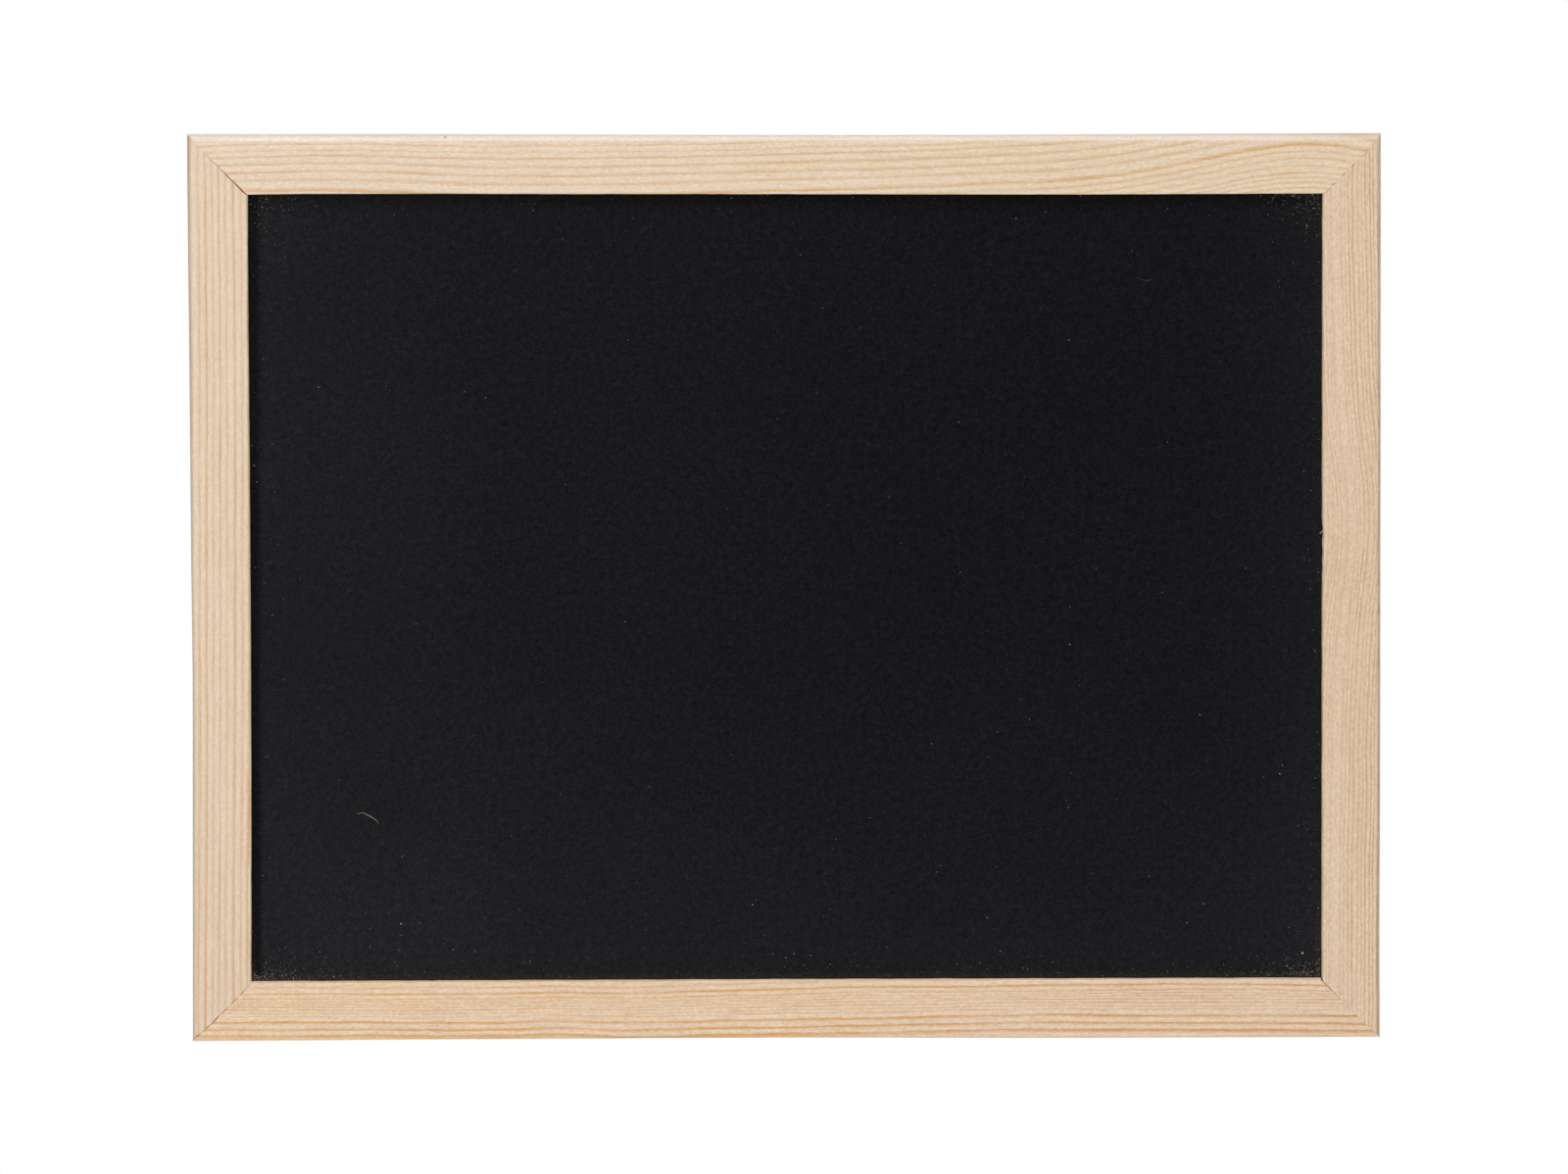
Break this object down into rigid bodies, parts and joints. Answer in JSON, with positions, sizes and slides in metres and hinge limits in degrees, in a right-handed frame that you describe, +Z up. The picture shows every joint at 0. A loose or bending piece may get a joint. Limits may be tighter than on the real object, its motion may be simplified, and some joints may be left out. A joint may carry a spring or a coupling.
{
  "type": "framed chalkboard",
  "caption": "Wall chalkboard: a thin matt black writing panel held in a mitred, rebated pine frame, with a swinging D-ring hanger on each stile's back.",
  "frame": {"origin": "the middle of the top rail's back face, halfway between its top edge and the wall of its rebate", "axes": "+X to the viewer's right as one faces the writing side, +Y backwards into the wall, +Z up"},
  "size_m": [0.395, 0.0165, 0.3],
  "materials": {
    "pine": "bare sanded pine, pale with orange grain lines",
    "chalk_panel": "hardboard with a matt black chalk coat on its front",
    "nail_steel": "bright steel strip",
    "point_steel": "blued spring steel",
    "hanger_zinc": "zinc-plated steel",
    "screw_zinc": "zinc-plated steel"
  },
  "bodies": {
    "frame": {"top_rail": "pine", "bottom_rail": "pine", "left_stile": "pine", "right_stile": "pine", "chalk_panel": "chalk_panel", "top_left_nail_outer": "nail_steel", "top_left_nail_inner": "nail_steel", "top_right_nail_outer": "nail_steel", "top_right_nail_inner": "nail_steel", "bottom_left_nail_outer": "nail_steel", "bottom_left_nail_inner": "nail_steel", "bottom_right_nail_outer": "nail_steel", "bottom_right_nail_inner": "nail_steel", "top_point_1": "point_steel", "top_point_2": "point_steel", "top_point_3": "point_steel", "bottom_point_1": "point_steel", "bottom_point_2": "point_steel", "bottom_point_3": "point_steel", "left_point_1": "point_steel", "left_point_2": "point_steel", "right_point_1": "point_steel", "right_point_2": "point_steel", "left_hanger_strap": "hanger_zinc", "left_hanger_screw": "screw_zinc", "right_hanger_strap": "hanger_zinc", "right_hanger_screw": "screw_zinc"},
    "left_ring": {"left_hanger_ring": "hanger_zinc"},
    "right_ring": {"right_hanger_ring": "hanger_zinc"}
  },
  "joints": [
    {"name": "left_ring_swing", "type": "hinge", "parent": "frame", "child": "left_ring", "pos_m": [-0.1905, 0.0023, -0.058], "axis": [1, 0, 0], "range_deg": [0, 172]},
    {"name": "right_ring_swing", "type": "hinge", "parent": "frame", "child": "right_ring", "pos_m": [0.1905, 0.0023, -0.058], "axis": [1, 0, 0], "range_deg": [0, 172]}
  ]
}
